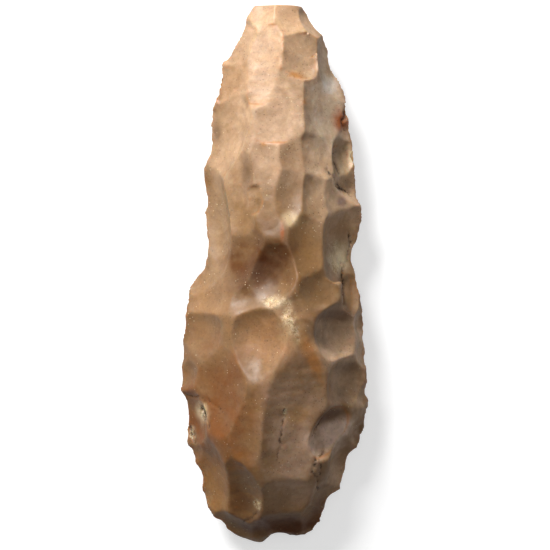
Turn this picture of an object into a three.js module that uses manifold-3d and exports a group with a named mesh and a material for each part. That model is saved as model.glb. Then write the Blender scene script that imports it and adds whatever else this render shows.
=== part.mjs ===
// A flint adze: a core tool knapped from one nodule, lying on its underside.
// Millimetres. +Y runs from the blade to the butt, +Z is up, and Z = 0 is the flat it rests on.
// A smooth blank is lofted along rails, and each blow of the knapper takes one shallow dish off it.
import * as THREE from "three";
import { mergeVertices } from "three/addons/utils/BufferGeometryUtils.js";
import Module from "manifold-3d";

// Driving dimensions
const LENGTH = 192; // blade tip to butt
const WIDTH = 67.6; // across the broad half, near the blade
const THICKNESS = 38.5; // rest flat to crown
const EDGE_HEIGHT = 14; // rest flat to the side edges, at the butt
const EDGE_WAVE = 1.4; // how far the side edges weave up and down
const REST_DEPTH = 1.2; // how deep the rest flat is struck into the belly

// Flake scars
const HINGE = 1.6; // rise over run where a flake broke off in a step
const FEATHER = 0.6; // rise over run where a flake thinned out
const EDGE_FLAKE_WIDTH = 1.24; // of the gap between two cusps, so that neighbours overlap
const EDGE_FLAKE_BITE = { least: 0.75, share: 0.1 }; // depth of a trimming flake, and its growth with size
const LID = 6; // how far a cutter stands out of the stone

// Surface resolution
const STATIONS = 48; // gaps between the blank's cross-sections
const FACE_STEPS = 12; // steps from edge to edge on each face of a cross-section
const RIM_STEP = 5.5; // along the rim of a scar
const FLOOR_RINGS = [0.6, 1]; // rings of a scar's floor, as shares of its radius
const SLOPE_REACH = 0.8; // the blank's slope is read over twice this
const WELD = 0.02; // vertices nearer than this become one

// The rails and scars are drawn on a tool of this length and width, and stretch with the real one.
const DRAWN_LENGTH = 192;
const DRAWN_WIDTH = 67.6;
const stretchX = WIDTH / DRAWN_WIDTH;
const stretchY = LENGTH / DRAWN_LENGTH;

// Outline of the blank as [y, x], from the butt to the blade
const LEFT_EDGE = [
  [96, -7.4], [90, -11.6], [84, -14.9], [75.5, -18.9], [66, -20.8], [56, -23.1], [46, -24.3],
  [38.5, -28.1], [33, -26.8], [20, -25.5], [4, -25.2], [-6, -31], [-24, -33], [-41, -33.8],
  [-53, -33.8], [-66, -29.6], [-74, -27.9], [-88, -22.6], [-93.5, -14], [-96, -7],
];
const RIGHT_EDGE = [
  [96, 9.5], [91, 14.8], [84, 19.6], [75, 22.1], [62, 25.9], [45, 28.2], [34, 30.2],
  [21, 31.2], [8, 28.7], [-3, 29.8], [-14, 32.2], [-26, 32.4], [-44, 33.8], [-54, 32],
  [-66, 28.6], [-76, 24.9], [-82, 22.8], [-87, 18.6], [-91.7, 14.4], [-92.8, 9], [-93.8, 1], [-96, -3],
];

// Spine of the top face as [y, x]
const SPINE = [[96, 1], [76, 1.5], [28, 2], [10, 4], [-8, 6], [-22, 6], [-36, 1], [-50, -3], [-96, -4]];

// Heights as [y, share]: the edge line's share of EDGE_HEIGHT, how far the crest climbs from the
// edge line to full thickness, and how far the keel drops from it to the bottom of the belly
const EDGE_LINE = [[96, 1], [20, 1], [-20, 0.93], [-60, 0.79], [-85, 0.61], [-96, 0.5]];
const CREST = [
  [96, 0.25], [88, 0.41], [76, 0.55], [62, 0.64], [45, 0.74], [28, 0.84], [10, 0.94], [-8, 1],
  [-22, 1], [-36, 0.98], [-50, 0.91], [-65, 0.77], [-80, 0.54], [-90, 0.28], [-96, 0.05],
];
const KEEL = [
  [96, 0.36], [80, 0.59], [60, 0.76], [30, 0.89], [0, 1], [-40, 1], [-65, 0.78], [-80, 0.49], [-96, 0.1],
];
const TOP_FULLNESS = 2.2; // 2 is a parabola from spine to edge, more is squarer
const UNDER_FULLNESS = 2.4;

// Weave of each side edge: the distance from one crest to the next, and where the first stands
const LEFT_WEAVE = { pitch: 27, start: 5 };
const RIGHT_WEAVE = { pitch: 31, start: 19 };

// One blow: the middle of its scar, the way it ran in degrees from +X, half its length and half its
// width, how hollow its floor is, and how far the floor's middle lies under the blank.
// corner: 2 is an ellipse, more is squarer. rise: the floor's climb along the blow, in degrees.
function flake(x, y, blow, long, wide, dish, bite, { corner = 2, rise = 0, slope = FEATHER } = {}) {
  return { x, y, blow, long, wide, dish, bite, corner, rise, slope };
}

const BUTT_FLAKES = [
  flake(-4.5, 92, 270, 8, 6, 0.7, 1.6),
  flake(5.5, 90.5, 270, 7, 7.5, 0.5, 1.8, { corner: 3 }),
  flake(14, 90, 225, 6, 6, 0.8, 2),
  flake(20, 77, 180, 5, 10, 0.8, 2.6),
  flake(-12.5, 82, 330, 8, 7.5, 0.6, 2, { corner: 3 }),
  flake(-15, 68.2, 0, 9, 7.4, 0.8, 2.3, { corner: 4, slope: HINGE }),
];

// Thinning blows from the butt that each broke off in a step, one below the other
const STEPPED_PANELS = [
  flake(9.5, 82.2, 270, 4.2, 7.5, 0.5, 2.4, { corner: 3, rise: -6, slope: HINGE }),
  flake(8.8, 74.8, 180, 7, 4.4, 0.6, 2.8, { corner: 4, slope: HINGE }),
  flake(-4.6, 75, 270, 14.2, 6.4, 0.5, 3, { corner: 5, slope: HINGE }),
  flake(1.4, 60, 270, 13, 10, 0.5, 2.2, { corner: 6, slope: HINGE }),
  flake(-3, 32, 270, 16, 6.2, 0.6, 1.6, { corner: 3 }),
  flake(7, 41.5, 260, 7, 6, 0.8, 2),
  flake(5.5, 29, 250, 9.5, 6, 1.6, 3),
];

const LEFT_FLANK = [
  flake(-17, 51, 58, 16, 8.5, 1.6, 3.2),
  flake(-15.5, 38, 322, 11, 7.5, 1.6, 3, { corner: 3 }),
  flake(-21.5, 16, 2, 9, 24, 5, 4.8),
  flake(-13, 21, 290, 10, 5, 1, 2.8),
  flake(-8, 29, 180, 3, 2.2, 0.5, 2, { slope: HINGE }),
  flake(-7.8, 25, 240, 3.4, 2.6, 0.5, 2.2, { slope: HINGE }),
  flake(-24, -8, 0, 9, 7, 1.6, 2.8),
  flake(-26, -19, 0, 9, 8, 2, 3.2),
];

const RIGHT_FLANK = [
  flake(19, 58, 180, 10.5, 14, 1.4, 3.2, { corner: 3 }),
  flake(16, 42, 180, 10, 7, 0.8, 2.8),
  flake(15.5, 28.5, 180, 7.5, 9.5, 2, 3.4),
  flake(25.5, 40.5, 180, 4, 6, 0.6, 3.6, { corner: 3, rise: -10, slope: HINGE }),
  flake(27, 32.5, 180, 5, 3.5, 1.2, 4.6),
  flake(23, 26.5, 150, 8, 5.5, 1, 3.4),
  flake(24, 14, 180, 8, 8.5, 2.6, 5.4, { corner: 3 }),
  flake(25, 5, 180, 6, 6, 1.2, 3.6),
  flake(27.3, -5.5, 180, 4.5, 7, 1.4, 4, { corner: 3, slope: HINGE }),
  flake(16, -5, 200, 10, 8, 1.8, 3.2),
  flake(22, -20.5, 180, 13.5, 10.5, 3.8, 4.6),
  flake(26, -38, 180, 10.5, 9.5, 3.4, 4.8, { corner: 2.5 }),
];

// The deep scars at the waist, and the chips round the crown between them
const WAIST_HOLLOWS = [
  flake(12, 11, 200, 10, 11, 1.6, 2.8),
  flake(-12, 8, 40, 13, 9, 2, 3.4),
  flake(-3, -1, 42, 14, 10.5, 4.4, 5.6),
  flake(-9, -6.5, 0, 11, 6.5, 2.4, 4),
  flake(-6.3, -21.5, 0, 13, 15, 4.4, 4.4, { corner: 1.7 }),
  flake(8.5, -12, 200, 4.5, 4, 0.6, 1),
  flake(11, -22, 300, 6.5, 4, 0.6, 1.5),
  flake(2, -11, 270, 3.5, 4, 0.5, 1.2),
];

const BLADE_FACE = [
  flake(-21, -42, 0, 17, 20, 2.8, 3.8),
  flake(-30, -51, 0, 6.5, 9, 1.4, 3.4),
  flake(-11, -53, 90, 18, 8, 1, 1.8, { corner: 3 }),
  flake(6.5, -55, 85, 31, 14, 2.2, 3.8, { corner: 3 }),
  flake(20, -56, 213, 10.5, 7, 3, 5.6, { slope: HINGE }),
  flake(25, -66, 180, 6, 12.5, 2.2, 3.8),
  flake(-23, -72, 20, 9, 15, 2, 3.4),
  flake(-12.5, -79, 90, 14, 7.5, 1.4, 3.6, { corner: 1.6 }),
  flake(4, -80, 45, 10, 9, 1.2, 2.6),
];

// Short steep blows that sharpened the blade
const BLADE_END = [
  flake(18.5, -80.5, 150, 6.5, 5.5, 1.6, 3),
  flake(13.5, -87, 120, 5.5, 4.5, 1, 2.4),
  flake(4, -89, 90, 5, 10.5, 1.4, 2.6),
  flake(1, -93.5, 90, 3, 3.2, 0.6, 1.6),
  flake(-5, -91, 90, 4.5, 4.5, 1, 1.8),
  flake(-15, -90, 70, 5.5, 9, 1.2, 2.2),
];

// Underside: broad blows from both edges towards the belly, and thinning blows from the two ends
const UNDERSIDE = [
  flake(-9, 84, 330, 12, 9, 1.4, 2.6),
  flake(13, 86, 205, 10, 8, 1.4, 2.6),
  flake(12, 72, 165, 14, 8, 1.6, 2.8),
  flake(-13, 65, 20, 15, 12, 2.2, 3.2),
  flake(14, 52, 185, 19, 14, 2.6, 3.6),
  flake(-15, 48, 340, 14, 8, 1.6, 3),
  flake(-17, 33, 15, 12, 9.5, 1.8, 3.2),
  flake(19, 29, 165, 14, 11, 2, 3.2),
  flake(22, 15, 200, 11, 7, 1.4, 3),
  flake(-14, 12, 350, 18, 14, 2.8, 3.8),
  flake(19, -1, 170, 17, 12, 2.4, 3.4),
  flake(-23, -8, 15, 12, 8, 1.6, 3),
  flake(-21, -23, 340, 16, 11, 2.2, 3.2),
  flake(23, -22, 195, 13, 11, 2, 3.2),
  flake(25, -37, 180, 12, 8, 1.6, 3.2),
  flake(-22, -44, 8, 18, 14, 2.6, 3.6),
  flake(19, -56, 165, 18, 14, 2.6, 3.6),
  flake(-20, -64, 350, 14, 9, 1.8, 3),
  flake(15, -77, 150, 14, 10, 1.6, 2.8),
  flake(-17, -80, 40, 13, 9, 1.6, 2.8),
  flake(0, -78, 88, 18, 9, 1.8, 2.6),
  flake(-2, -60, 95, 12, 8, 1.2, 2.2),
  flake(2, 80, 275, 15, 7, 1.2, 2.2),
  flake(-1, 60, 265, 12, 8, 1.2, 2.2),
  flake(-6, 37, 20, 10, 8, 0.9, 2),
  flake(8, 9, 195, 8, 9, 0.9, 1.9),
  flake(-9, -33, 0, 7, 9, 0.9, 1.9),
  flake(7, -37, 170, 8, 8, 0.9, 2),
];

// Cusps along each edge: one trimming flake lies between every two, on the underside and the top by turns
const LEFT_CUSPS = [
  94, 89, 84, 75.5, 67, 58, 48, 38.5, 30, 22, 12, 3, -6.5, -15.5, -24.3, -32, -41, -48, -53.5, -61,
  -68, -76, -82, -88, -92.5,
];
const RIGHT_CUSPS = [
  92, 86, 80, 71, 62.5, 55, 46, 35, 28, 21, 10, 2, -4, -14, -20, -26, -32, -39, -46, -54, -62, -68,
  -77, -83, -90,
];

// Smooth curve through [y, value] points that never swings past them, for any y of the real tool
function rail(points) {
  const knots = points.map(([y, value]) => [y * stretchY, value]).reverse();
  const last = knots.length - 1;
  const gap = (i) => knots[i + 1][0] - knots[i][0];
  const secant = (i) => (knots[i + 1][1] - knots[i][1]) / gap(i);
  const slopes = knots.map((_, i) => {
    if (i === 0) return secant(0);
    if (i === last) return secant(last - 1);
    const before = secant(i - 1);
    const after = secant(i);
    if (before * after <= 0) return 0;
    const weightBefore = 2 * gap(i) + gap(i - 1);
    const weightAfter = gap(i) + 2 * gap(i - 1);
    return (weightBefore + weightAfter) / (weightBefore / before + weightAfter / after);
  });
  return (y) => {
    const at = THREE.MathUtils.clamp(y, knots[0][0], knots[last][0]);
    let i = 0;
    while (i < last - 1 && at > knots[i + 1][0]) i++;
    const t = (at - knots[i][0]) / gap(i);
    const from = knots[i][1] * (1 + 2 * t) + gap(i) * slopes[i] * t;
    const to = knots[i + 1][1] * (3 - 2 * t) - gap(i) * slopes[i + 1] * (1 - t);
    return from * (1 - t) ** 2 + to * t ** 2;
  };
}

const leftX = rail(LEFT_EDGE.map(([y, x]) => [y, x * stretchX]));
const rightX = rail(RIGHT_EDGE.map(([y, x]) => [y, x * stretchX]));
const spineX = rail(SPINE.map(([y, x]) => [y, x * stretchX]));
const middleX = (y) => (leftX(y) + rightX(y)) / 2;
const edgeShare = rail(EDGE_LINE);
const crestShare = rail(CREST);
const keelShare = rail(KEEL);
const edgeLine = (y) => EDGE_HEIGHT * edgeShare(y);
const crestZ = (y) => edgeLine(y) + (THICKNESS - edgeLine(y)) * crestShare(y);
const keelZ = (y) => edgeLine(y) - (edgeLine(y) + REST_DEPTH) * keelShare(y);

// Height of a side edge: its weave dies out towards the thin ends
function edgeZ(y, { pitch, start }) {
  return edgeLine(y) + EDGE_WAVE * crestShare(y) * Math.sin((2 * Math.PI * (y / stretchY - start)) / pitch);
}

// Height of the blank's top (face 1) or underside (face -1) over a point of the plan
function blankZ(x, y, face) {
  const centre = face > 0 ? spineX(y) : middleX(y);
  const onLeft = x < centre;
  const share = (x - centre) / ((onLeft ? leftX(y) : rightX(y)) - centre);
  const edge = edgeZ(y, onLeft ? LEFT_WEAVE : RIGHT_WEAVE);
  const ridge = face > 0 ? crestZ(y) : keelZ(y);
  const fullness = face > 0 ? TOP_FULLNESS : UNDER_FULLNESS;
  return edge + (ridge - edge) * (1 - Math.abs(share) ** fullness);
}

// Outward normal of the blank
function blankNormal(x, y, face) {
  const slopeX = blankZ(x + SLOPE_REACH, y, face) - blankZ(x - SLOPE_REACH, y, face);
  const slopeY = blankZ(x, y + SLOPE_REACH, face) - blankZ(x, y - SLOPE_REACH, face);
  return new THREE.Vector3(-slopeX, -slopeY, 2 * SLOPE_REACH).normalize().multiplyScalar(face);
}

const wasm = await Module();
wasm.setup();

// Vertices that meet are shared, and faces left without area are dropped
function weld(geometry, tolerance) {
  const welded = mergeVertices(geometry, tolerance);
  const corners = welded.index.array;
  const kept = [];
  for (let i = 0; i < corners.length; i += 3) {
    const [a, b, c] = corners.slice(i, i + 3);
    if (a !== b && b !== c && c !== a) kept.push(a, b, c);
  }
  return welded.setIndex(kept);
}

function solidOf(geometry) {
  const { position } = geometry.attributes;
  const triVerts = new Uint32Array(geometry.index.array);
  return new wasm.Manifold(new wasm.Mesh({ numProp: 3, vertProperties: position.array, triVerts }));
}

function geometryOf(solid) {
  const { vertProperties, triVerts } = solid.getMesh();
  const geometry = new THREE.BufferGeometry();
  geometry.setAttribute("position", new THREE.BufferAttribute(vertProperties, 3));
  return geometry.setIndex(new THREE.BufferAttribute(triVerts, 1));
}

// The blank: one closed ring of points at each station, over the top and back under the belly
function blank() {
  const points = [];
  const ring = 2 * FACE_STEPS;
  for (let station = 0; station <= STATIONS; station++) {
    const y = LENGTH * (0.5 - station / STATIONS);
    for (let step = 0; step < ring; step++) {
      const face = step < FACE_STEPS ? 1 : -1;
      const centre = face > 0 ? spineX(y) : middleX(y);
      const share = -Math.cos((Math.PI * step) / FACE_STEPS);
      const x = centre + Math.abs(share) * ((share < 0 ? leftX(y) : rightX(y)) - centre);
      points.push(x, y, blankZ(x, y, face));
    }
  }
  const faces = [];
  for (let station = 0; station < STATIONS; station++) {
    for (let step = 0; step < ring; step++) {
      const a = station * ring + step;
      const b = station * ring + ((step + 1) % ring);
      faces.push(a, a + ring, b, b, a + ring, b + ring);
    }
  }
  const bladeRing = STATIONS * ring;
  for (let step = 1; step < ring - 1; step++) {
    faces.push(0, step, step + 1);
    faces.push(bladeRing, bladeRing + step + 1, bladeRing + step);
  }
  const geometry = new THREE.BufferGeometry();
  geometry.setAttribute("position", new THREE.Float32BufferAttribute(points, 3));
  return solidOf(geometry.setIndex(faces));
}

// The cutter of one scar: a revolved dish with its rim wall and a lid clear of the stone, drawn out
// to the scar's length and width and set into the blank
function scarCutter({ x, y, blow, long, wide, dish, bite, corner, rise, slope }, face) {
  const angle = THREE.MathUtils.degToRad(blow);
  const length = long * Math.hypot(Math.cos(angle) * stretchX, Math.sin(angle) * stretchY);
  const width = wide * Math.hypot(Math.sin(angle) * stretchX, Math.cos(angle) * stretchY);
  const lid = bite + LID;
  const lip = (lid - dish) / (Math.min(length, width) * slope);
  const floor = FLOOR_RINGS.map((radius) => new THREE.Vector2(radius, dish * radius ** 2));
  const lidRim = new THREE.Vector2(1 + lip, lid);
  const profile = [new THREE.Vector2(0, 0), ...floor, lidRim, new THREE.Vector2(0, lid)];
  const segments = Math.max(8, Math.round((Math.PI * (length + width)) / RIM_STEP));
  const geometry = new THREE.LatheGeometry(profile, segments);
  geometry.deleteAttribute("normal");
  geometry.deleteAttribute("uv");

  const { position } = geometry.attributes;
  for (let i = 0; i < position.count; i++) {
    const radius = Math.hypot(position.getX(i), position.getZ(i));
    if (radius === 0) continue;
    const cosine = Math.abs(position.getX(i) / radius);
    const sine = Math.abs(position.getZ(i) / radius);
    const squared = (cosine ** corner + sine ** corner) ** (-1 / corner);
    position.setX(i, position.getX(i) * squared * length);
    position.setZ(i, position.getZ(i) * squared * width);
  }

  const up = blankNormal(x * stretchX, y * stretchY, face);
  const origin = new THREE.Vector3(x * stretchX, y * stretchY, blankZ(x * stretchX, y * stretchY, face));
  origin.addScaledVector(up, -bite);
  const along = new THREE.Vector3(Math.cos(angle), Math.sin(angle), 0);
  along.addScaledVector(up, -along.dot(up)).normalize();
  const across = new THREE.Vector3().crossVectors(along, up);
  up.applyAxisAngle(across, THREE.MathUtils.degToRad(rise));
  along.applyAxisAngle(across, THREE.MathUtils.degToRad(rise));
  const place = new THREE.Matrix4().makeBasis(along, up, across).setPosition(origin);
  return solidOf(weld(geometry.applyMatrix4(place), WELD / 100));
}

// Trimming flakes between the cusps of one edge
function edgeFlakes(cusps, edgeX, inward) {
  return cusps.slice(1).map((y, i) => {
    const from = new THREE.Vector2(edgeX(cusps[i] * stretchY) / stretchX, cusps[i]);
    const to = new THREE.Vector2(edgeX(y * stretchY) / stretchX, y);
    const gap = from.distanceTo(to);
    const blow = new THREE.Vector2(from.y - to.y, to.x - from.x).multiplyScalar(inward / gap);
    const long = gap * (0.62 + 0.035 * ((i * 7) % 5));
    const middle = from.add(to).multiplyScalar(0.5).addScaledVector(blow, 0.45 * long);
    const depth = EDGE_FLAKE_BITE.share * gap;
    return {
      face: i % 2 ? 1 : -1,
      ...flake(
        middle.x,
        middle.y,
        THREE.MathUtils.radToDeg(blow.angle()),
        long,
        (EDGE_FLAKE_WIDTH / 2) * gap,
        EDGE_FLAKE_BITE.least / 2 + depth,
        EDGE_FLAKE_BITE.least + depth,
      ),
    };
  });
}

// The flat it rests on: everything under Z = 0 is struck away
function belowRest() {
  const slab = new THREE.BoxGeometry(2 * WIDTH, 2 * LENGTH, THICKNESS).translate(0, 0, -THICKNESS / 2);
  slab.deleteAttribute("normal");
  slab.deleteAttribute("uv");
  return solidOf(weld(slab, WELD));
}

const blows = [
  ...[
    BUTT_FLAKES,
    STEPPED_PANELS,
    LEFT_FLANK,
    RIGHT_FLANK,
    WAIST_HOLLOWS,
    BLADE_FACE,
    BLADE_END,
  ].flatMap((group) => group.map((scar) => ({ face: 1, ...scar }))),
  ...UNDERSIDE.map((scar) => ({ face: -1, ...scar })),
  ...edgeFlakes(LEFT_CUSPS, leftX, 1),
  ...edgeFlakes(RIGHT_CUSPS, rightX, -1),
];

// Splinters that the blows cut loose fall away, and the largest body is the tool
const knapped = blows.reduce(
  (stone, scar) => stone.subtract(scarCutter(scar, scar.face)),
  blank().subtract(belowRest()),
);
const [tool] = knapped.decompose().sort((a, b) => b.volume() - a.volume());

const flint = new THREE.MeshStandardMaterial({
  color: 0x9c7a58,
  roughness: 0.42,
  metalness: 0,
  flatShading: true,
});

const adze = new THREE.Mesh(weld(geometryOf(tool), WELD), flint);
adze.name = "flint_adze";

const group = new THREE.Group();
group.name = "adze";
group.add(adze);

export default group;
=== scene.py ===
import bmesh
import bpy
import numpy as np
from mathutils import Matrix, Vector, noise


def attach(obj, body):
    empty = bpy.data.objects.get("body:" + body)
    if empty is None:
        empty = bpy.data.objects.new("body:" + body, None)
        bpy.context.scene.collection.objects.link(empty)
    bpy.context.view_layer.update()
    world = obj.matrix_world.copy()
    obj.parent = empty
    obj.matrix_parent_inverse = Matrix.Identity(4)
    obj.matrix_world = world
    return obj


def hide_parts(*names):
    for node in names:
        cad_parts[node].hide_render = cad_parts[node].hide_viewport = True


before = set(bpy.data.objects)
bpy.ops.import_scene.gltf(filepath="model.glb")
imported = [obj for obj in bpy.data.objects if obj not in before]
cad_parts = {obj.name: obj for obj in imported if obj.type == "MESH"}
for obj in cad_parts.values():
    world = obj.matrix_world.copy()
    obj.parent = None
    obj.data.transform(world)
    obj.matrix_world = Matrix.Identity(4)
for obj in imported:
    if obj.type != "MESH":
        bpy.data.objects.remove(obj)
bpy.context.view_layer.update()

# The blank
# The nodule, roughed out to a long biface: a high back, a flatter belly and a thin, wavy edge.
# It has the same rails as the solid's, because each flake is struck from this surface.

MM = 0.001
LENGTH = 192
THICKNESS = 38.5
EDGE_HEIGHT = 14  # of the side edges over the table, at the butt
EDGE_WAVE = 1.4  # how far the side edges weave up and down
REST_DEPTH = 1.2  # how deep the flat that it rests on is struck into the belly

# Edges and spine as (y, x), from the butt to the blade
LEFT_EDGE = [
    (96, -7.4), (90, -11.6), (84, -14.9), (75.5, -18.9), (66, -20.8), (56, -23.1), (46, -24.3),
    (38.5, -28.1), (33, -26.8), (20, -25.5), (4, -25.2), (-6, -31), (-24, -33), (-41, -33.8),
    (-53, -33.8), (-66, -29.6), (-74, -27.9), (-88, -22.6), (-93.5, -14), (-96, -7),
]
RIGHT_EDGE = [
    (96, 9.5), (91, 14.8), (84, 19.6), (75, 22.1), (62, 25.9), (45, 28.2), (34, 30.2),
    (21, 31.2), (8, 28.7), (-3, 29.8), (-14, 32.2), (-26, 32.4), (-44, 33.8), (-54, 32),
    (-66, 28.6), (-76, 24.9), (-82, 22.8), (-87, 18.6), (-91.7, 14.4), (-92.8, 9), (-93.8, 1),
    (-96, -3),
]
SPINE = [(96, 1), (76, 1.5), (28, 2), (10, 4), (-8, 6), (-22, 6), (-36, 1), (-50, -3), (-96, -4)]

# Heights as (y, share): the edge line's share of EDGE_HEIGHT, how far the crest climbs from the edge
# line to full thickness, and how far the keel drops from it to the bottom of the belly
EDGE_LINE = [(96, 1), (20, 1), (-20, 0.93), (-60, 0.79), (-85, 0.61), (-96, 0.5)]
CREST = [
    (96, 0.25), (88, 0.41), (76, 0.55), (62, 0.64), (45, 0.74), (28, 0.84), (10, 0.94), (-8, 1),
    (-22, 1), (-36, 0.98), (-50, 0.91), (-65, 0.77), (-80, 0.54), (-90, 0.28), (-96, 0.05),
]
KEEL = [
    (96, 0.36), (80, 0.59), (60, 0.76), (30, 0.89), (0, 1), (-40, 1), (-65, 0.78), (-80, 0.49),
    (-96, 0.1),
]
TOP_FULLNESS = 2.2  # 2 is a parabola from spine to edge, more is squarer
UNDER_FULLNESS = 2.4
LEFT_WEAVE = (27, 5)  # from one crest of the edge to the next, and where the first starts
RIGHT_WEAVE = (31, 19)
SLOPE_REACH = 0.8  # the blank's slope is read over twice this


def rail(points):
    """Smooth curve through (y, value) points that never swings past them."""
    y, value = np.array(sorted(points), float).T
    gap = np.diff(y)
    secant = np.diff(value) / gap
    slope = np.empty_like(y)
    slope[0], slope[-1] = secant[0], secant[-1]
    before, after = secant[:-1], secant[1:]
    weight_before = 2 * gap[1:] + gap[:-1]
    weight_after = gap[1:] + 2 * gap[:-1]
    with np.errstate(divide="ignore", invalid="ignore"):
        mean = (weight_before + weight_after) / (weight_before / before + weight_after / after)
    slope[1:-1] = np.where(before * after > 0, mean, 0)

    def curve(at):
        at = np.clip(at, y[0], y[-1])
        i = np.clip(np.searchsorted(y, at) - 1, 0, len(gap) - 1)
        t = (at - y[i]) / gap[i]
        start = value[i] * (1 + 2 * t) + gap[i] * slope[i] * t
        end = value[i + 1] * (3 - 2 * t) - gap[i] * slope[i + 1] * (1 - t)
        return start * (1 - t) ** 2 + end * t**2

    return curve


left_x, right_x, spine_x = rail(LEFT_EDGE), rail(RIGHT_EDGE), rail(SPINE)
edge_share, crest_share, keel_share = rail(EDGE_LINE), rail(CREST), rail(KEEL)


def blank_z(x, y, face):
    """Height of the blank's top (face 1) or belly (face -1) over a point of the plan."""
    line = EDGE_HEIGHT * edge_share(y)
    if face > 0:
        centre, fullness = spine_x(y), TOP_FULLNESS
        ridge = line + (THICKNESS - line) * crest_share(y)
    else:
        centre, fullness = (left_x(y) + right_x(y)) / 2, UNDER_FULLNESS
        ridge = line - (line + REST_DEPTH) * keel_share(y)
    on_left = x < centre
    share = (x - centre) / (np.where(on_left, left_x(y), right_x(y)) - centre)
    pitch = np.where(on_left, LEFT_WEAVE[0], RIGHT_WEAVE[0])
    start = np.where(on_left, LEFT_WEAVE[1], RIGHT_WEAVE[1])
    edge = line + EDGE_WAVE * crest_share(y) * np.sin(2 * np.pi * (y - start) / pitch)
    return edge + (ridge - edge) * (1 - np.abs(share) ** fullness)


def blank_slopes(x, y, face):
    """How fast the blank climbs along X and along Y."""
    along_x = blank_z(x + SLOPE_REACH, y, face) - blank_z(x - SLOPE_REACH, y, face)
    along_y = blank_z(x, y + SLOPE_REACH, face) - blank_z(x, y - SLOPE_REACH, face)
    return along_x / (2 * SLOPE_REACH), along_y / (2 * SLOPE_REACH)


# The flake scars
# Each blow of hammerstone or antler took one shell-shaped flake and left a shallow dish, with waves
# running out from the point of impact. Thin flakes feathered out, and others broke off in a step.

HINGE = 1.6  # rise over run where a flake broke off in a step
FEATHER = 0.6  # rise over run where it thinned out


def flake(x, y, blow, long, wide, dish, bite, corner=2, rise=0, slope=FEATHER, face=1):
    """One scar: its middle, the way the blow ran in degrees from +X, half its length and width,
    how hollow its floor is, and how far the floor's middle lies under the blank. A corner of 2 is
    an ellipse and more is squarer, and rise is the floor's climb along the blow, in degrees."""
    angle = np.radians(blow)
    slope_x, slope_y = blank_slopes(x, y, face)
    up = Vector((-slope_x, -slope_y, 1)).normalized() * face
    along = Vector((np.cos(angle), np.sin(angle), 0))
    along = (along - along.dot(up) * up).normalized()
    across = along.cross(up)
    middle = Vector((x, y, blank_z(x, y, face))) - up * bite
    turn = np.radians(rise)
    along, up = along * np.cos(turn) + up * np.sin(turn), up * np.cos(turn) - along * np.sin(turn)
    return {
        "middle": np.array(middle),
        "axes": np.array((along, across, up)),
        "long": long,
        "wide": wide,
        "dish": dish,
        "corner": corner,
        "slope": slope,
    }


BUTT_FLAKES = [
    flake(-4.5, 92, 270, 8, 6, 0.7, 1.6),
    flake(5.5, 90.5, 270, 7, 7.5, 0.5, 1.8, corner=3),
    flake(14, 90, 225, 6, 6, 0.8, 2),
    flake(20, 77, 180, 5, 10, 0.8, 2.6),
    flake(-12.5, 82, 330, 8, 7.5, 0.6, 2, corner=3),
    flake(-15, 68.2, 0, 9, 7.4, 0.8, 2.3, corner=4, slope=HINGE),
]
STEPPED_PANELS = [
    flake(9.5, 82.2, 270, 4.2, 7.5, 0.5, 2.4, corner=3, rise=-6, slope=HINGE),
    flake(8.8, 74.8, 180, 7, 4.4, 0.6, 2.8, corner=4, slope=HINGE),
    flake(-4.6, 75, 270, 14.2, 6.4, 0.5, 3, corner=5, slope=HINGE),
    flake(1.4, 60, 270, 13, 10, 0.5, 2.2, corner=6, slope=HINGE),
    flake(-3, 32, 270, 16, 6.2, 0.6, 1.6, corner=3),
    flake(7, 41.5, 260, 7, 6, 0.8, 2),
    flake(5.5, 29, 250, 9.5, 6, 1.6, 3),
]
LEFT_FLANK = [
    flake(-17, 51, 58, 16, 8.5, 1.6, 3.2),
    flake(-15.5, 38, 322, 11, 7.5, 1.6, 3, corner=3),
    flake(-21.5, 16, 2, 9, 24, 5, 4.8),
    flake(-13, 21, 290, 10, 5, 1, 2.8),
    flake(-8, 29, 180, 3, 2.2, 0.5, 2, slope=HINGE),
    flake(-7.8, 25, 240, 3.4, 2.6, 0.5, 2.2, slope=HINGE),
    flake(-24, -8, 0, 9, 7, 1.6, 2.8),
    flake(-26, -19, 0, 9, 8, 2, 3.2),
]
RIGHT_FLANK = [
    flake(19, 58, 180, 10.5, 14, 1.4, 3.2, corner=3),
    flake(16, 42, 180, 10, 7, 0.8, 2.8),
    flake(15.5, 28.5, 180, 7.5, 9.5, 2, 3.4),
    flake(25.5, 40.5, 180, 4, 6, 0.6, 3.6, corner=3, rise=-10, slope=HINGE),
    flake(27, 32.5, 180, 5, 3.5, 1.2, 4.6),
    flake(23, 26.5, 150, 8, 5.5, 1, 3.4),
    flake(24, 14, 180, 8, 8.5, 2.6, 5.4, corner=3),
    flake(25, 5, 180, 6, 6, 1.2, 3.6),
    flake(27.3, -5.5, 180, 4.5, 7, 1.4, 4, corner=3, slope=HINGE),
    flake(16, -5, 200, 10, 8, 1.8, 3.2),
    flake(22, -20.5, 180, 13.5, 10.5, 5, 5.2),
    flake(26, -38, 180, 10.5, 9.5, 4.4, 5.2, corner=2.5),
]
WAIST_HOLLOWS = [
    flake(12, 11, 200, 10, 11, 1.6, 2.8),
    flake(-12, 8, 40, 13, 9, 2, 3.4),
    flake(-3, -1, 42, 14, 10.5, 5.2, 6),
    flake(-9, -6.5, 0, 11, 6.5, 2.4, 4),
    flake(-6.3, -21.5, 0, 13, 15, 5.2, 4.8, corner=1.7),
    flake(8.5, -12, 200, 4.5, 4, 0.6, 1),
    flake(11, -22, 300, 6.5, 4, 0.6, 1.5),
    flake(2, -11, 270, 3.5, 4, 0.5, 1.2),
]
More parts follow.
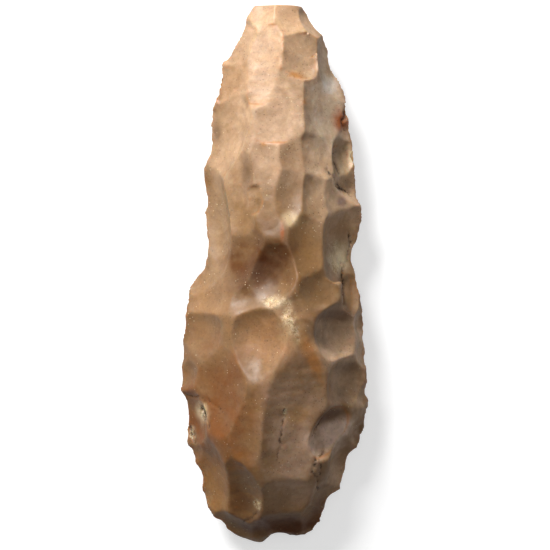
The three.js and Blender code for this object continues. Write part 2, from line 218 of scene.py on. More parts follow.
BLADE_FACE = [
    flake(-21, -42, 0, 17, 20, 2.8, 3.8),
    flake(-30, -51, 0, 6.5, 9, 1.4, 3.4),
    flake(-11, -53, 90, 18, 8, 1, 1.8, corner=3),
    flake(6.5, -55, 85, 31, 14, 2.2, 3.8, corner=3),
    flake(20, -56, 213, 10.5, 7, 4, 6, slope=HINGE),
    flake(25, -66, 180, 6, 12.5, 2.2, 3.8),
    flake(-23, -72, 20, 9, 15, 2, 3.4),
    flake(-12.5, -79, 90, 14, 7.5, 1.4, 3.6, corner=1.6),
    flake(4, -80, 45, 10, 9, 1.2, 2.6),
]
BLADE_END = [
    flake(18.5, -80.5, 150, 6.5, 5.5, 1.6, 3),
    flake(13.5, -87, 120, 5.5, 4.5, 1, 2.4),
    flake(4, -89, 90, 5, 10.5, 1.4, 2.6),
    flake(1, -93.5, 90, 3, 3.2, 0.6, 1.6),
    flake(-5, -91, 90, 4.5, 4.5, 1, 1.8),
    flake(-15, -90, 70, 5.5, 9, 1.2, 2.2),
]
UNDERSIDE = [
    flake(-9, 84, 330, 12, 9, 1.4, 2.6, face=-1),
    flake(13, 86, 205, 10, 8, 1.4, 2.6, face=-1),
    flake(12, 72, 165, 14, 8, 1.6, 2.8, face=-1),
    flake(-13, 65, 20, 15, 12, 2.2, 3.2, face=-1),
    flake(14, 52, 185, 19, 14, 2.6, 3.6, face=-1),
    flake(-15, 48, 340, 14, 8, 1.6, 3, face=-1),
    flake(-17, 33, 15, 12, 9.5, 1.8, 3.2, face=-1),
    flake(19, 29, 165, 14, 11, 2, 3.2, face=-1),
    flake(22, 15, 200, 11, 7, 1.4, 3, face=-1),
    flake(-14, 12, 350, 18, 14, 2.8, 3.8, face=-1),
    flake(19, -1, 170, 17, 12, 2.4, 3.4, face=-1),
    flake(-23, -8, 15, 12, 8, 1.6, 3, face=-1),
    flake(-21, -23, 340, 16, 11, 2.2, 3.2, face=-1),
    flake(23, -22, 195, 13, 11, 2, 3.2, face=-1),
    flake(25, -37, 180, 12, 8, 1.6, 3.2, face=-1),
    flake(-22, -44, 8, 18, 14, 2.6, 3.6, face=-1),
    flake(19, -56, 165, 18, 14, 2.6, 3.6, face=-1),
    flake(-20, -64, 350, 14, 9, 1.8, 3, face=-1),
    flake(15, -77, 150, 14, 10, 1.6, 2.8, face=-1),
    flake(-17, -80, 40, 13, 9, 1.6, 2.8, face=-1),
    flake(0, -78, 88, 18, 9, 1.8, 2.6, face=-1),
    flake(-2, -60, 95, 12, 8, 1.2, 2.2, face=-1),
    flake(2, 80, 275, 15, 7, 1.2, 2.2, face=-1),
    flake(-1, 60, 265, 12, 8, 1.2, 2.2, face=-1),
    flake(-6, 37, 20, 10, 8, 0.9, 2, face=-1),
    flake(8, 9, 195, 8, 9, 0.9, 1.9, face=-1),
    flake(-9, -33, 0, 7, 9, 0.9, 1.9, face=-1),
    flake(7, -37, 170, 8, 8, 0.9, 2, face=-1),
]

# Trimming flakes run between the cusps of each edge, whose y is listed
LEFT_CUSPS = [
    94, 89, 84, 75.5, 67, 58, 48, 38.5, 30, 22, 12, 3, -6.5, -15.5, -24.3, -32, -41, -48, -53.5, -61,
    -68, -76, -82, -88, -92.5,
]
RIGHT_CUSPS = [
    92, 86, 80, 71, 62.5, 55, 46, 35, 28, 21, 10, 2, -4, -14, -20, -26, -32, -39, -46, -54, -62, -68,
    -77, -83, -90,
]
EDGE_FLAKE_WIDTH = 1.24  # of the gap between two cusps, so that neighbours overlap
EDGE_FLAKE_LENGTHS = (0.62, 0.69, 0.76, 0.655, 0.725)  # half lengths of the gap, by turns
EDGE_FLAKE_INSET = 0.45  # of the half length, from the edge to the scar's middle
EDGE_FLAKE_BITE = 0.75  # least depth
BITE_GROWTH = 0.1  # of the gap, added to the depth


def edge_flakes(cusps, edge, inward):
    """Trimming flakes along one edge, one between every two cusps, on belly and top by turns."""
    scars = []
    for i, (start, end) in enumerate(zip(cusps, cusps[1:])):
        run = Vector((edge(end) - edge(start), end - start))
        gap = run.length
        blow = Vector((-run.y, run.x)) * inward / gap
        angle = np.degrees(np.arctan2(blow.y, blow.x))
        long = gap * EDGE_FLAKE_LENGTHS[i % len(EDGE_FLAKE_LENGTHS)]
        wide = gap * EDGE_FLAKE_WIDTH / 2
        dish = EDGE_FLAKE_BITE / 2 + BITE_GROWTH * gap
        bite = EDGE_FLAKE_BITE + BITE_GROWTH * gap
        x, y = Vector((edge(start) + edge(end), start + end)) / 2 + EDGE_FLAKE_INSET * long * blow
        scars.append(flake(x, y, angle, long, wide, dish, bite, face=1 if i % 2 else -1))
    return scars


scars = [
    *BUTT_FLAKES,
    *STEPPED_PANELS,
    *LEFT_FLANK,
    *RIGHT_FLANK,
    *WAIST_HOLLOWS,
    *BLADE_FACE,
    *BLADE_END,
    *UNDERSIDE,
    *edge_flakes(LEFT_CUSPS, left_x, 1),
    *edge_flakes(RIGHT_CUSPS, right_x, -1),
]

# The stone's surface
# A fine, even mesh is laid on the solid and drawn onto the true scars, with their waves, the fine
# streaks near their ends, and arrises dulled by handling and by time in the soil.

VOXEL = 0.61  # mesh width, which keeps the piece under 200,000 triangles

source = bmesh.new()
source.from_mesh(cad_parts["flint_adze"].data)
bmesh.ops.remove_doubles(source, verts=source.verts, dist=1e-6)
mesh = bpy.data.meshes.new("flint_adze_surface")
source.to_mesh(mesh)
source.free()
stone = bpy.data.objects.new("flint_adze_surface", mesh)
bpy.context.scene.collection.objects.link(stone)
remesh = stone.modifiers.new("even", "REMESH")
remesh.mode = "VOXEL"
remesh.voxel_size = VOXEL * MM
evaluated = stone.evaluated_get(bpy.context.evaluated_depsgraph_get())
even_mesh = bpy.data.meshes.new_from_object(evaluated)
stone.modifiers.clear()
stone.data = even_mesh
count = len(even_mesh.vertices)
points = np.empty(count * 3)
even_mesh.vertices.foreach_get("co", points)
points = points.reshape(-1, 3) / MM
facing = np.empty(count * 3)
even_mesh.vertices.foreach_get("normal", facing)
facing_up = facing[2::3]

# 1 on the top face and 0 on the belly, from how far up each point faces
BELLY_FACING = -0.28
TOP_FACING = 0.12
on_top = np.clip((facing_up - BELLY_FACING) / (TOP_FACING - BELLY_FACING), 0, 1)

# How far in from the outline each point lies
to_edge = np.minimum(points[:, 0] - left_x(points[:, 1]), right_x(points[:, 1]) - points[:, 0])

# Each scar touches only the points near it
REACH = 2  # in half lengths of the scar
MARGIN = 2  # added to that
for scar in scars:
    reach = REACH * max(scar["long"], scar["wide"]) + MARGIN
    scar["near"] = np.flatnonzero(np.linalg.norm(points - scar["middle"], axis=1) < reach)


def sampled(waves, start=0.0):
    """Even noise at every vertex, between -1 and 1: its waves for each mm, and where it starts."""
    return np.array([noise.noise(Vector(p) * waves + Vector((start, 0, 0))) for p in points])


# The stone's unevenness as (waves for each mm, height), and what small knocks add along the edge
SWELL = [(0.05, 0.5), (0.13, 0.24), (0.35, 0.09), (0.9, 0.035)]
CRUSHED_EDGE = 0.3  # height
CRUSHED_BAND = 1.2  # how far in from the edge it reaches
unevenness = sum(height * sampled(waves, 40 * i) for i, (waves, height) in enumerate(SWELL))
unevenness += CRUSHED_EDGE * np.exp(-np.maximum(to_edge, 0) / CRUSHED_BAND) * sampled(0.6, 7)

# Rounding of the ridges between scars: crisp near the butt, dulled on the body of the tool by
# handling, and sharp again along the edge
CRISP_ARRIS = 0.16
SOFT_ARRIS = 0.34
CRISP_FROM = 46  # the y over which every ridge is crisp
SOFT_FROM = 6  # the y under which every ridge is dulled
EDGE_ARRIS = 0.35  # of the rounding, at the edge
SHARP_BAND = 8  # how slowly the rounding grows from the edge inwards
dulled = np.clip((CRISP_FROM - points[:, 1]) / (CRISP_FROM - SOFT_FROM), 0, 1)
arris = CRISP_ARRIS + (SOFT_ARRIS - CRISP_ARRIS) * dulled
arris *= np.clip(EDGE_ARRIS + to_edge / SHARP_BAND, EDGE_ARRIS, 1)

# Places where a hammer crushed the stone or chalk crumbles, as (x, y, half width, half length)
CRUSHED = [
    (0, -9.5, 3.6, 1.8),
    (4.5, -15, 2.4, 2.6),
    (7, -20, 2, 2.6),
    (-26, -48, 1.6, 2.6),
    (-30, -56, 1.4, 2.6),
    (22, 6, 2.6, 5),
    (-6.5, -81, 1.2, 1.6),
    (3, -48, 0.8, 3),
    (2.5, 83, 1, 0.8),
]
CRUMBLE = 0.3  # height of the unevenness there
CRUMBLE_SINK = 0.3  # of that height, how deep the patch lies
PATCH_EDGE = 1.4  # where a patch has faded out, in half widths
PATCH_RAGGED = 0.8  # how far its border wanders, in half widths

# Cracks that opened along old flaws, each a line of (x, y) points, with its width and depth
CRACKS = [
    ([(22, 46), (21.4, 41), (22.6, 36)], 0.5, 0.5),
    ([(19, 37), (22, 32), (27, 28.5)], 0.6, 0.5),
    ([(24, 4), (24.6, -1), (24, -10)], 0.6, 0.8),
    ([(26, 6), (27.2, 11), (26.4, 15)], 0.6, 0.5),
    ([(-31, -43), (-27.5, -43), (-24, -44.2), (-20, -47.6)], 0.4, 0.25),
    ([(-26.5, -47), (-25, -50), (-23.4, -54)], 0.55, 0.5),
    ([(-31, -54), (-29.4, -57.5), (-28.6, -60)], 0.6, 0.5),
    ([(3.2, -47), (2.2, -56), (1, -65)], 0.35, 0.12),
    ([(17, -51), (15, -54), (13.4, -57.4)], 0.5, 0.3),
    ([(14.4, -65), (13.4, -70), (15, -73.4), (15.6, -76.4)], 0.5, 0.3),
    ([(17, -62), (15.6, -67), (16.2, -71)], 0.4, 0.2),
    ([(-11, -88.5), (-6.5, -84.5)], 0.5, 0.3),
    ([(25.5, 58), (24, 55), (25.4, 51.5)], 0.7, 0.5),
]
CRACK_WANDER = 0.9  # how far a crack strays from its line

wobble = np.column_stack((sampled(0.3, 51), sampled(0.3, 77)))


def crack_cover(line, width):
    """1 in the middle of a crack and 0 a little way off it."""
    nearest = np.full(count, np.inf)
    for start, end in zip(np.array(line[:-1], float), np.array(line[1:], float)):
        run = end - start
        offset = points[:, :2] + CRACK_WANDER * wobble - start
        share = np.clip(offset @ run / (run @ run), 0, 1)
        nearest = np.minimum(nearest, np.linalg.norm(offset - share[:, None] * run, axis=1))
    return np.exp(-((nearest / width) ** 2)) * on_top


def patch_cover(x, y, wide, long):
    """1 in the middle of a ragged patch and 0 outside it."""
    radius = np.hypot((points[:, 0] - x) / wide, (points[:, 1] - y) / long)
    return np.clip(PATCH_EDGE - radius + PATCH_RAGGED * wobble[:, 0], 0, 1) * on_top


crumbled = np.clip(sum(patch_cover(*patch) for patch in CRUSHED), 0, 1)
unevenness += CRUMBLE * crumbled * (sampled(0.8, 61) - CRUMBLE_SINK)
crack_covers = [crack_cover(line, width) for line, width, _ in CRACKS]
unevenness -= sum(deep * cover for (_, _, deep), cover in zip(CRACKS, crack_covers))

# Waves and streaks that run out from the point of impact over a scar's floor
BLOW_POINT = 1.15  # from the scar's middle to the point of impact, in half lengths
WAVE_LENGTH = 0.3  # of half the scar's length
WAVE_LIMITS = (1.9, 4.6)  # least and greatest length of a wave
WAVE_HEIGHT = 0.01  # of a wave's length
WAVE_DRIFT = 1.3  # how far a wave strays from an even ring, in radians
WAVE_START = 0.25  # of its height is there near the point of impact
WAVE_END = 1.35  # where waves and streaks have faded out: 1 is the rim
STREAKS = 46  # for each radian round the point of impact
STREAK_HEIGHT = 0.045
STREAK_START = 0.35  # how far out they begin: 1 is the rim
FULL_STREAKS = 10  # half length of a scar whose streaks have their full height

wave_drift = WAVE_DRIFT * sampled(0.14, 90)


def scar_depth(scar, at, drift):
    """How far each point lies under a scar's floor, and its place in the scar: 1 is the rim."""
    along, across, up = scar["axes"] @ (at - scar["middle"]).T
    long, wide, corner = scar["long"], scar["wide"], scar["corner"]
    radius = (np.abs(along / long) ** corner + np.abs(across / wide) ** corner) ** (1 / corner)
    past_rim = np.maximum(radius - 1, 0) * min(long, wide)
    floor = scar["dish"] * np.minimum(radius, 1) ** 2 + past_rim * scar["slope"]
    past_blow = along + BLOW_POINT * long
    from_blow = np.hypot(past_blow, across)
    length = np.clip(WAVE_LENGTH * long, *WAVE_LIMITS)
    fade = np.clip(WAVE_END - radius, 0, 1) * np.clip(from_blow / (2 * long), WAVE_START, 1)
    floor += WAVE_HEIGHT * length * fade * np.sin(2 * np.pi * from_blow / length + drift)
    streak = np.sin(STREAKS * np.arctan2(across, past_blow) + 2 * drift)
    streak *= fade * np.clip(radius - STREAK_START, 0, 1)
    floor += STREAK_HEIGHT * min(1, long / FULL_STREAKS) * streak
    steepness = np.where(radius > 1, np.hypot(1, scar["slope"]), 1)
    return (floor - up) / steepness, radius


DEPTH_LIMITS = (-6, 40)  # keep the powers in range
FAR_FROM_RIDGE = 9.0  # counts as no ridge


def depth(at, details=False):
    """How far each point lies inside the stone: the softened least depth under all its surfaces.
    With details, the scar that each point belongs to, its place in it, and how far off a ridge is."""
    x, y, z = at.T
    faces = []
    for face in (1, -1):
        slope_x, slope_y = blank_slopes(x, y, face)
        faces.append(face * (blank_z(x, y, face) - z) / np.sqrt(1 + slope_x**2 + slope_y**2))
    faces += [LENGTH / 2 - np.abs(y), z]
    total = sum(np.exp(-np.clip(f, *DEPTH_LIMITS) / arris) for f in faces)
    least = np.min(faces, axis=0)
    second = np.full(len(at), FAR_FROM_RIDGE)
    owner = np.full(len(at), -1)
    place = np.zeros(len(at))
    for i, scar in enumerate(scars):
        near = scar["near"]
        inside, radius = scar_depth(scar, at[near], wave_drift[near])
        total[near] += np.exp(-np.clip(inside, *DEPTH_LIMITS) / arris[near])
        if details:
            nearer = inside < least[near]
            second[near] = np.where(nearer, least[near], np.minimum(second[near], inside))
            owner[near[nearer]] = i
            place[near[nearer]] = radius[nearer]
            least[near] = np.minimum(least[near], inside)
    if details:
        return owner, place, second - least
    return -arris * np.log(total) + unevenness


# The mesh is drawn onto the surface, where depth is 0, in a few short moves along its slope
PASSES = 5
STRIDE = 0.05  # the slope is read over twice this
LONGEST_MOVE = 0.6
FLATTEST = 0.3  # a smaller square of the slope counts as this
for _ in range(PASSES):
    inside = depth(points)
    slope = np.stack(
        [(depth(points + step) - depth(points - step)) / (2 * STRIDE) for step in STRIDE * np.eye(3)],
        axis=1,
    )
    move = inside[:, None] * slope / np.maximum((slope**2).sum(axis=1), FLATTEST)[:, None]
    length = np.linalg.norm(move, axis=1)[:, None]
    points -= move * np.minimum(1, LONGEST_MOVE / np.maximum(length, 1e-9))
points[:, 2] = np.maximum(points[:, 2], 0)
owner, place, from_ridge = depth(points, details=True)
even_mesh.vertices.foreach_set("co", (points * MM).ravel())
even_mesh.update()
even_mesh.shade_smooth()

# The flint's colours
# Brown patinated flint: honey and beige where light gets into it, grey-brown where it is fresh,
# stained orange by iron along old cracks, with chalky white cortex left in the deepest hollows.
# Some patches are painted shade on faces turned from the lamp and under steps, and one is painted
# light on the lit floor of a hollow.

# Each stain or patch of painted shading is (x, y, half width, half length, turn in degrees, colour,
# strength)
STAINS_AND_PAINTED_SHADING = [
    (0, 80, 24, 28, 0, "#CFAB88", 0.95),
    (2, 50, 17, 22, 0, "#D0AD8C", 0.9),
    (-17, 46, 9, 18, 0, "#C8A582", 0.85),
    (20, 55, 9, 22, 0, "#D8C0A6", 0.95),
    (22, 26, 12, 22, 0, "#D0AF8E", 0.9),
    (-21, 12, 8, 22, 0, "#A98A69", 0.9),
    # Darker brown over the big hollow in the waist
    (-3, 4, 13, 18, -55, "#653A10", 0.95),
    (13, 8, 8, 12, 0, "#9C7446", 0.7),
    (-2, -23, 15, 11, 0, "#B98A5E", 0.85),
    (-25, -14, 9, 13, 0, "#A07A54", 0.8),
    (-20, -50, 16, 24, 0, "#7E4B20", 0.95),
    (25, -28, 11, 18, 0, "#D8B492", 0.95),
    (7, -58, 11, 26, 0, "#B4947A", 1.0),
    # Painted light on the floor of the hollow scar at the right of the blade face, turned to the lamp
    (20, -57, 9, 6, 35, "#F0D2BC", 1.0),
    (-21, -76, 9, 13, -15, "#A0713F", 0.7),
    # Painted shade on the face of the blade end that turns down, away from the lamp
    (4, -89.5, 17, 5, 0, "#5E2C04", 1.0),
    (5.5, 30, 4.5, 8, 0, "#7A5A3A", 0.5),
    (5.5, 42, 4, 6, 0, "#84623F", 0.4),
    # Painted shade in a left flank scar, beside the wall at its right
    (-10, 36, 2.5, 6, 0, "#4A3220", 0.55),
    (-20.5, 50.5, 2, 4, 0, "#4E3824", 0.6),
    (26, 32.5, 2.5, 3, 0, "#3E2C1E", 0.6),
    (24, 26, 1.6, 1.6, 0, "#5C3950", 0.5),
    (11, -22, 3, 5, -30, "#4A3422", 0.55),
    # Painted shade along the diagonal step that crosses the big hollow in the waist
    (-3, 3, 11, 5, 38, "#54290A", 0.8),
    # Painted shade under the step at the top of a left flank scar near the butt
    (-15, 70, 5, 6, 0, "#B08A64", 0.7),
    (25.5, 40, 3.2, 6, 0, "#E4C69C", 0.8),
    (22.5, 17, 6, 4.5, 0, "#A4784A", 0.5),
    (13, -29, 2.4, 13, 25, "#B4701F", 0.65),
    (8, -49, 6, 4, 0, "#A6741E", 0.45),
    (2.5, 15.5, 0.8, 3.4, 0, "#A85208", 1.0),
    (23.5, 55, 3, 4.4, 0, "#B0561C", 1.0),
    (7.5, 70.6, 3.4, 1.2, -15, "#C07C2C", 0.7),
    (-4, 46, 1.6, 1.2, 0, "#C07C2C", 0.7),
    (10.5, 61, 1, 1.6, 0, "#C07C2C", 0.6),
    (-5, 61.3, 5, 0.7, 3, "#C98C46", 0.35),
    (5.5, 19.5, 3, 2.6, 0, "#E6CCA2", 0.8),
    (23, 7, 3.4, 5, 0, "#F2DDB8", 1.0),
    (-26, -48.5, 2.2, 3.6, 10, "#E0C69C", 0.8),
    (18.2, 67.5, 3.6, 3.2, 0, "#E6DCD0", 0.75),
    (0, -9.5, 5, 3, 0, "#DFC9A6", 0.5),
    (5.5, -19, 4, 6, 20, "#CFB48A", 0.4),
    (23, -71, 3.5, 7, 0, "#DDB692", 0.9),
    (17, -85, 6, 4, -40, "#6E4016", 0.9),
    (-12, -80, 5, 7, 0, "#63380F", 0.8),
    # Painted shade on the upper walls of three hollow scars at the right, turned away from the lamp
    (20, -14, 8, 2.4, 0, "#62380F", 0.7),
    (26, -33, 5, 2.2, 0, "#6E4A2C", 0.6),
    (18, -50, 7, 2.4, 20, "#5C3416", 0.8),
]
BELLY_STAINS = [
    (-6, 60, 20, 30, 10, "#B8946C", 0.7),
    (10, 10, 18, 30, -15, "#8A6A48", 0.7),
    (-12, -20, 16, 26, 0, "#94683F", 0.7),
    (8, -62, 20, 26, 0, "#7C6650", 0.8),
    (-8, 22, 6, 12, 20, "#E0C8A0", 0.55),
    (14, -34, 4, 10, -20, "#A8701F", 0.5),
]
BODY_COLOUR = "#93704A"
STAIN_AND_SHADING_EDGE = 1.5  # where a stain or painted shading has faded out, in half widths
RAGGED = 0.45  # how far its border wanders, in half widths


def linear(colour):
    """An sRGB hex colour as linear RGB."""
    srgb = np.array([int(colour[i : i + 2], 16) / 255 for i in (1, 3, 5)])
    return np.where(srgb <= 0.04045, srgb / 12.92, ((srgb + 0.055) / 1.055) ** 2.4)


wander = sampled(0.16, 20) + 0.5 * sampled(0.5, 33)


def stain_and_shading_cover(x, y, wide, long, turn, strength):
    """How much of a stain or of painted shading each point has."""
    turn = np.radians(turn)
    across = (points[:, 0] - x) * np.cos(turn) + (points[:, 1] - y) * np.sin(turn)
    along = (points[:, 1] - y) * np.cos(turn) - (points[:, 0] - x) * np.sin(turn)
    radius = np.hypot(across / wide, along / long) + RAGGED * wander
    return np.clip(strength * np.clip(STAIN_AND_SHADING_EDGE - radius, 0, 1) ** 1.5, 0, 1)


# Each point's colour: the patina, with stains and painted shading laid over it
patina_and_painted_shading = np.tile(linear(BODY_COLOUR), (count, 1))
for stains_and_painted_shading, side in ((STAINS_AND_PAINTED_SHADING, on_top), (BELLY_STAINS, 1 - on_top)):
    for x, y, wide, long, turn, tint, strength in stains_and_painted_shading:
        share = (stain_and_shading_cover(x, y, wide, long, turn, strength) * side)[:, None]
        patina_and_painted_shading = patina_and_painted_shading * (1 - share) + linear(tint) * share

# Each scar is a little lighter or darker than the next
SCAR_TONE = 0.09
SEED = 7
rng = np.random.default_rng(SEED)
tones = rng.uniform(-1, 1, len(scars) + 1)
patina_and_painted_shading *= 1 + SCAR_TONE * tones[owner][:, None]

# Iron stains the thin edge in patches
EDGE_STAIN = "#6E3A12"
EDGE_STAIN_STRENGTH = 0.75
EDGE_STAIN_BAND = 1.1  # how far in from the edge it reaches
EDGE_STAIN_SPREAD = 0.35  # more joins the patches up
EDGE_STAIN_CONTRAST = 1.6  # more gives them harder borders
edge_patches = np.clip(EDGE_STAIN_SPREAD + EDGE_STAIN_CONTRAST * wander, 0, 1)
rim = EDGE_STAIN_STRENGTH * np.exp(-np.maximum(to_edge, 0) / EDGE_STAIN_BAND) * edge_patches
patina_and_painted_shading = patina_and_painted_shading * (1 - rim[:, None]) + linear(EDGE_STAIN) * rim[:, None]

# Ridges are rubbed pale, partly as wear and partly as painted highlight, and soil holds in the
# step at the rim of a hinged scar
RUBBED_AND_HIGHLIT_BAND = 0.35  # how far down from a ridge
STEP_PLACE = 1.02  # of the scar's radius
STEP_BAND = 0.035  # of the same
hinged = np.array([scar["slope"] == HINGE for scar in scars] + [False])
at_step = np.exp(-(((place - STEP_PLACE) / STEP_BAND) ** 2))
flaws_and_highlights = {
    "cracked": np.clip(sum(crack_covers), 0, 1),
    "crumbled": crumbled,
    "rubbed_and_highlit": np.exp(-from_ridge / RUBBED_AND_HIGHLIT_BAND),
    "dirty": np.where(hinged[owner], at_step, 0),
}
paint = even_mesh.color_attributes.new("patina_and_painted_shading", "FLOAT_COLOR", "POINT")
paint.data.foreach_set("color", np.column_stack((patina_and_painted_shading, np.ones(count))).astype(np.float32).ravel())
for name, values in flaws_and_highlights.items():
    layer = even_mesh.attributes.new(name, "FLOAT", "POINT")
    layer.data.foreach_set("value", values.astype(np.float32))

# Flint, flaked: a waxy, glassy stone, lit a little from within. Its fresh faces shine softly, and
# its surface shows pale and dark specks of fossil sponge, cloudy mottling and fine stained cracks.

# Clouds as (size in mm, detail, roughness, distortion, where they start, where they are full)
CLOUDS = {
    "mottle": (9, 6, 0.6, 0.6, 0.35, 0.68),
    "grain": (1.3, 5, 0.7, 0, 0.32, 0.7),
    "speck_fields": (7, 2, 0.6, 0, 0.5, 0.62),
    "branching": (2.2, 8, 0.75, 1.2, 0.38, 0.5),
    "breaks": (2.6, 3, 0.6, 0, 0.42, 0.58),
    "crumbs": (1.8, 8, 0.85, 1.5, 0.46, 0.6),
    "sheen": (3.5, 5, 0.6, 0, 0.3, 0.7),
    "pitting": (0.7, 6, 0.65, 0, 0, 1),
}

# Specks as (how many in 10 mm, and in their spacings, where their colour starts and is full)
SPECKS = {
    "pale_specks": (7, 0.17, 0.06),
    "dark_specks": (8, 0.24, 0.12),
}

# Coats over the patina and painted shading as (where they lie, strength, colour, blend)
COATS = [
    (["mottle"], 0.42, "#6E5236", "MULTIPLY"),
    (["mottle"], 0.16, "#C9A377", "MIX"),
    (["grain"], 0.3, "#A08262", "MULTIPLY"),
    (["pale_specks", "speck_fields"], 0.75, "#E2D0AE", "MIX"),
    (["dark_specks", "mottle"], 0.55, "#3A281A", "MIX"),
    (["crumbled", "crumbs"], 0.85, "#EBD6B0", "MIX"),
    (["cracked", "branching", "breaks"], 1, "#2A1408", "MIX"),
    (["dirty"], 0.6, "#A8682E", "MIX"),
    # Pale ridges: partly wear and partly painted highlight
    (["rubbed_and_highlit", "mottle"], 0.08, "#E0C7A4", "MIX"),
]
GLASSY, WAXY = 0.34, 0.55  # least and greatest roughness
PITTING = 0.35
PITTING_DEPTH = 0.00025  # in metres
LIGHT_DEPTH = 0.0028  # how far red light gets into the stone, in metres
LIGHT_SHARES = (1, 0.42, 0.16)  # of that depth for red, green and blue
MIX_FACTOR, MIX_A, MIX_B, MIX_COLOUR = 0, 6, 7, 2  # a colour mix's sockets, whose names repeat


def add(tree, kind, settings=None, inputs=None):
    """Adds a node. An input takes a value or another node's output."""
    made = tree.nodes.new(kind)
    for key, value in (settings or {}).items():
        setattr(made, key, value)
    for key, value in (inputs or {}).items():
        if isinstance(value, bpy.types.NodeSocket):
            tree.links.new(value, made.inputs[key])
        else:
            made.inputs[key].default_value = value
    return made


flint = bpy.data.materials.new("patinated_flint_flaked")
flint.use_nodes = True
tree = flint.node_tree
tree.nodes.clear()
coordinates = add(tree, "ShaderNodeTexCoord").outputs["Object"]
in_mm = {"Vector": coordinates, "Scale": (1 / MM, 1 / MM, 1 / MM)}
mm = add(tree, "ShaderNodeMapping", inputs=in_mm).outputs["Vector"]

masks = {}
for name, (size, detail, roughness, distortion, start, full) in CLOUDS.items():
    form = {"Scale": 1 / size, "Detail": detail, "Roughness": roughness, "Distortion": distortion}
    cloud = add(tree, "ShaderNodeTexNoise", inputs={"Vector": mm, **form})
    fade = {"Value": cloud.outputs["Fac"], "From Min": start, "From Max": full}
    masks[name] = add(tree, "ShaderNodeMapRange", inputs=fade).outputs["Result"]
for name, (in_10_mm, border, full) in SPECKS.items():
    cells = add(tree, "ShaderNodeTexVoronoi", inputs={"Vector": mm, "Scale": in_10_mm / 10})
    fade = {"Value": cells.outputs["Distance"], "From Min": border, "From Max": full}
    masks[name] = add(tree, "ShaderNodeMapRange", inputs=fade).outputs["Result"]
for name in flaws_and_highlights:
    masks[name] = add(tree, "ShaderNodeAttribute", {"attribute_name": name}).outputs["Fac"]

base = add(tree, "ShaderNodeAttribute", {"attribute_name": "patina_and_painted_shading"}).outputs["Color"]
for places, strength, tint, blend in COATS:
    share = strength
    for name in places:
        both = {0: masks[name], 1: share}
        share = add(tree, "ShaderNodeMath", {"operation": "MULTIPLY"}, both).outputs[0]
    coat = {MIX_FACTOR: share, MIX_A: base, MIX_B: (*linear(tint), 1)}
    mixing = {"data_type": "RGBA", "blend_type": blend}
    base = add(tree, "ShaderNodeMix", mixing, coat).outputs[MIX_COLOUR]

# Crumbs and cracks are dull
shine = {"Value": masks["sheen"], "To Min": GLASSY, "To Max": WAXY}
dull = add(tree, "ShaderNodeMapRange", inputs=shine).outputs["Result"]
for name in ("cracked", "crumbled"):
    either = {0: dull, 1: masks[name]}
    dull = add(tree, "ShaderNodeMath", {"operation": "MAXIMUM"}, either).outputs[0]

pits = {"Strength": PITTING, "Distance": PITTING_DEPTH, "Height": masks["pitting"]}
relief = add(tree, "ShaderNodeBump", inputs=pits).outputs["Normal"]
surface = add(
    tree,
    "ShaderNodeBsdfPrincipled",
    inputs={
        "Base Color": base,
        "Roughness": dull,
        "IOR": 1.54,
        "Specular IOR Level": 0.3,
        "Subsurface Weight": 0.4,
        "Subsurface Radius": LIGHT_SHARES,
        "Subsurface Scale": LIGHT_DEPTH,
        "Normal": relief,
    },
)
add(tree, "ShaderNodeOutputMaterial", inputs={"Surface": surface.outputs["BSDF"]})

stone.data.materials.clear()
stone.data.materials.append(flint)
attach(stone, "root")
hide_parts("flint_adze")

# The floor, lamps and camera
# A plain white card on a table, a soft lamp from the upper left as in the photograph, a wide, weak
# one overhead and a dim sky that lift the shadows, and a long lens that looks straight down.

FLOOR = 3.0  # side of the card
FLOOR_GAP = 0.0002  # between the card and the stone
CARD_WHITE = 0.62
CARD_GLOW = 0.55  # seen by the camera alone, so that the card is white and the shadow on it stays
SKY = 0.08

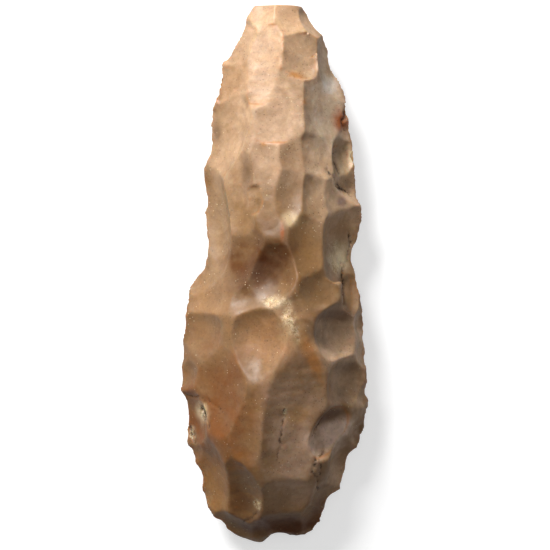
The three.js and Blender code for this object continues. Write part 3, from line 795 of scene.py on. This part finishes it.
# Lamps as (name, place, side, power)
LAMPS = [
    ("key", Vector((-0.4, 0.78, 0.62)), 0.4, 20),
    ("fill", Vector((0.25, 0.1, 1.4)), 1.2, 4.4),
]
VIEW_WIDTH = 0.19643  # at the height of the stone's edge
FOCAL = 200
SENSOR = 36

half = FLOOR / 2
corners = [(-half, -half, 0), (half, -half, 0), (half, half, 0), (-half, half, 0)]
floor_mesh = bpy.data.meshes.new("floor")
floor_mesh.from_pydata(corners, [], [(0, 1, 2, 3)])
floor = bpy.data.objects.new("floor", floor_mesh)
floor.location.z = -FLOOR_GAP
bpy.context.scene.collection.objects.link(floor)
card = bpy.data.materials.new("white_card")
card.use_nodes = True
tree = card.node_tree
tree.nodes.clear()
white = (CARD_WHITE, CARD_WHITE, CARD_WHITE, 1)
matt = add(tree, "ShaderNodeBsdfDiffuse", inputs={"Color": white}).outputs["BSDF"]
from_camera = add(tree, "ShaderNodeLightPath").outputs["Is Camera Ray"]
seen = add(tree, "ShaderNodeMath", {"operation": "MULTIPLY"}, {0: from_camera, 1: CARD_GLOW}).outputs[0]
glow = {"Color": (1, 1, 1, 1), "Strength": seen}
lit = add(tree, "ShaderNodeEmission", inputs=glow).outputs["Emission"]
both = add(tree, "ShaderNodeAddShader", inputs={0: matt, 1: lit}).outputs["Shader"]
add(tree, "ShaderNodeOutputMaterial", inputs={"Surface": both})
floor_mesh.materials.append(card)

world = bpy.data.worlds.new("pale_sky")
world.use_nodes = True
sky = world.node_tree.nodes["Background"]
sky.inputs["Color"].default_value = (1, 1, 1, 1)
sky.inputs["Strength"].default_value = SKY
bpy.context.scene.world = world

for name, place, side, power in LAMPS:
    light = bpy.data.lights.new(name, "AREA")
    light.size = side
    light.energy = power
    lamp = bpy.data.objects.new(name, light)
    lamp.location = place
    lamp.rotation_euler = (-place).to_track_quat("-Z", "Y").to_euler()
    bpy.context.scene.collection.objects.link(lamp)

lens = bpy.data.cameras.new("camera")
lens.lens = FOCAL
lens.sensor_width = SENSOR
camera = bpy.data.objects.new("camera", lens)
camera.location = (0, 0, EDGE_HEIGHT * MM + VIEW_WIDTH * FOCAL / SENSOR)
bpy.context.scene.collection.objects.link(camera)
bpy.context.scene.camera = camera
bpy.context.scene.view_settings.view_transform = "Standard"
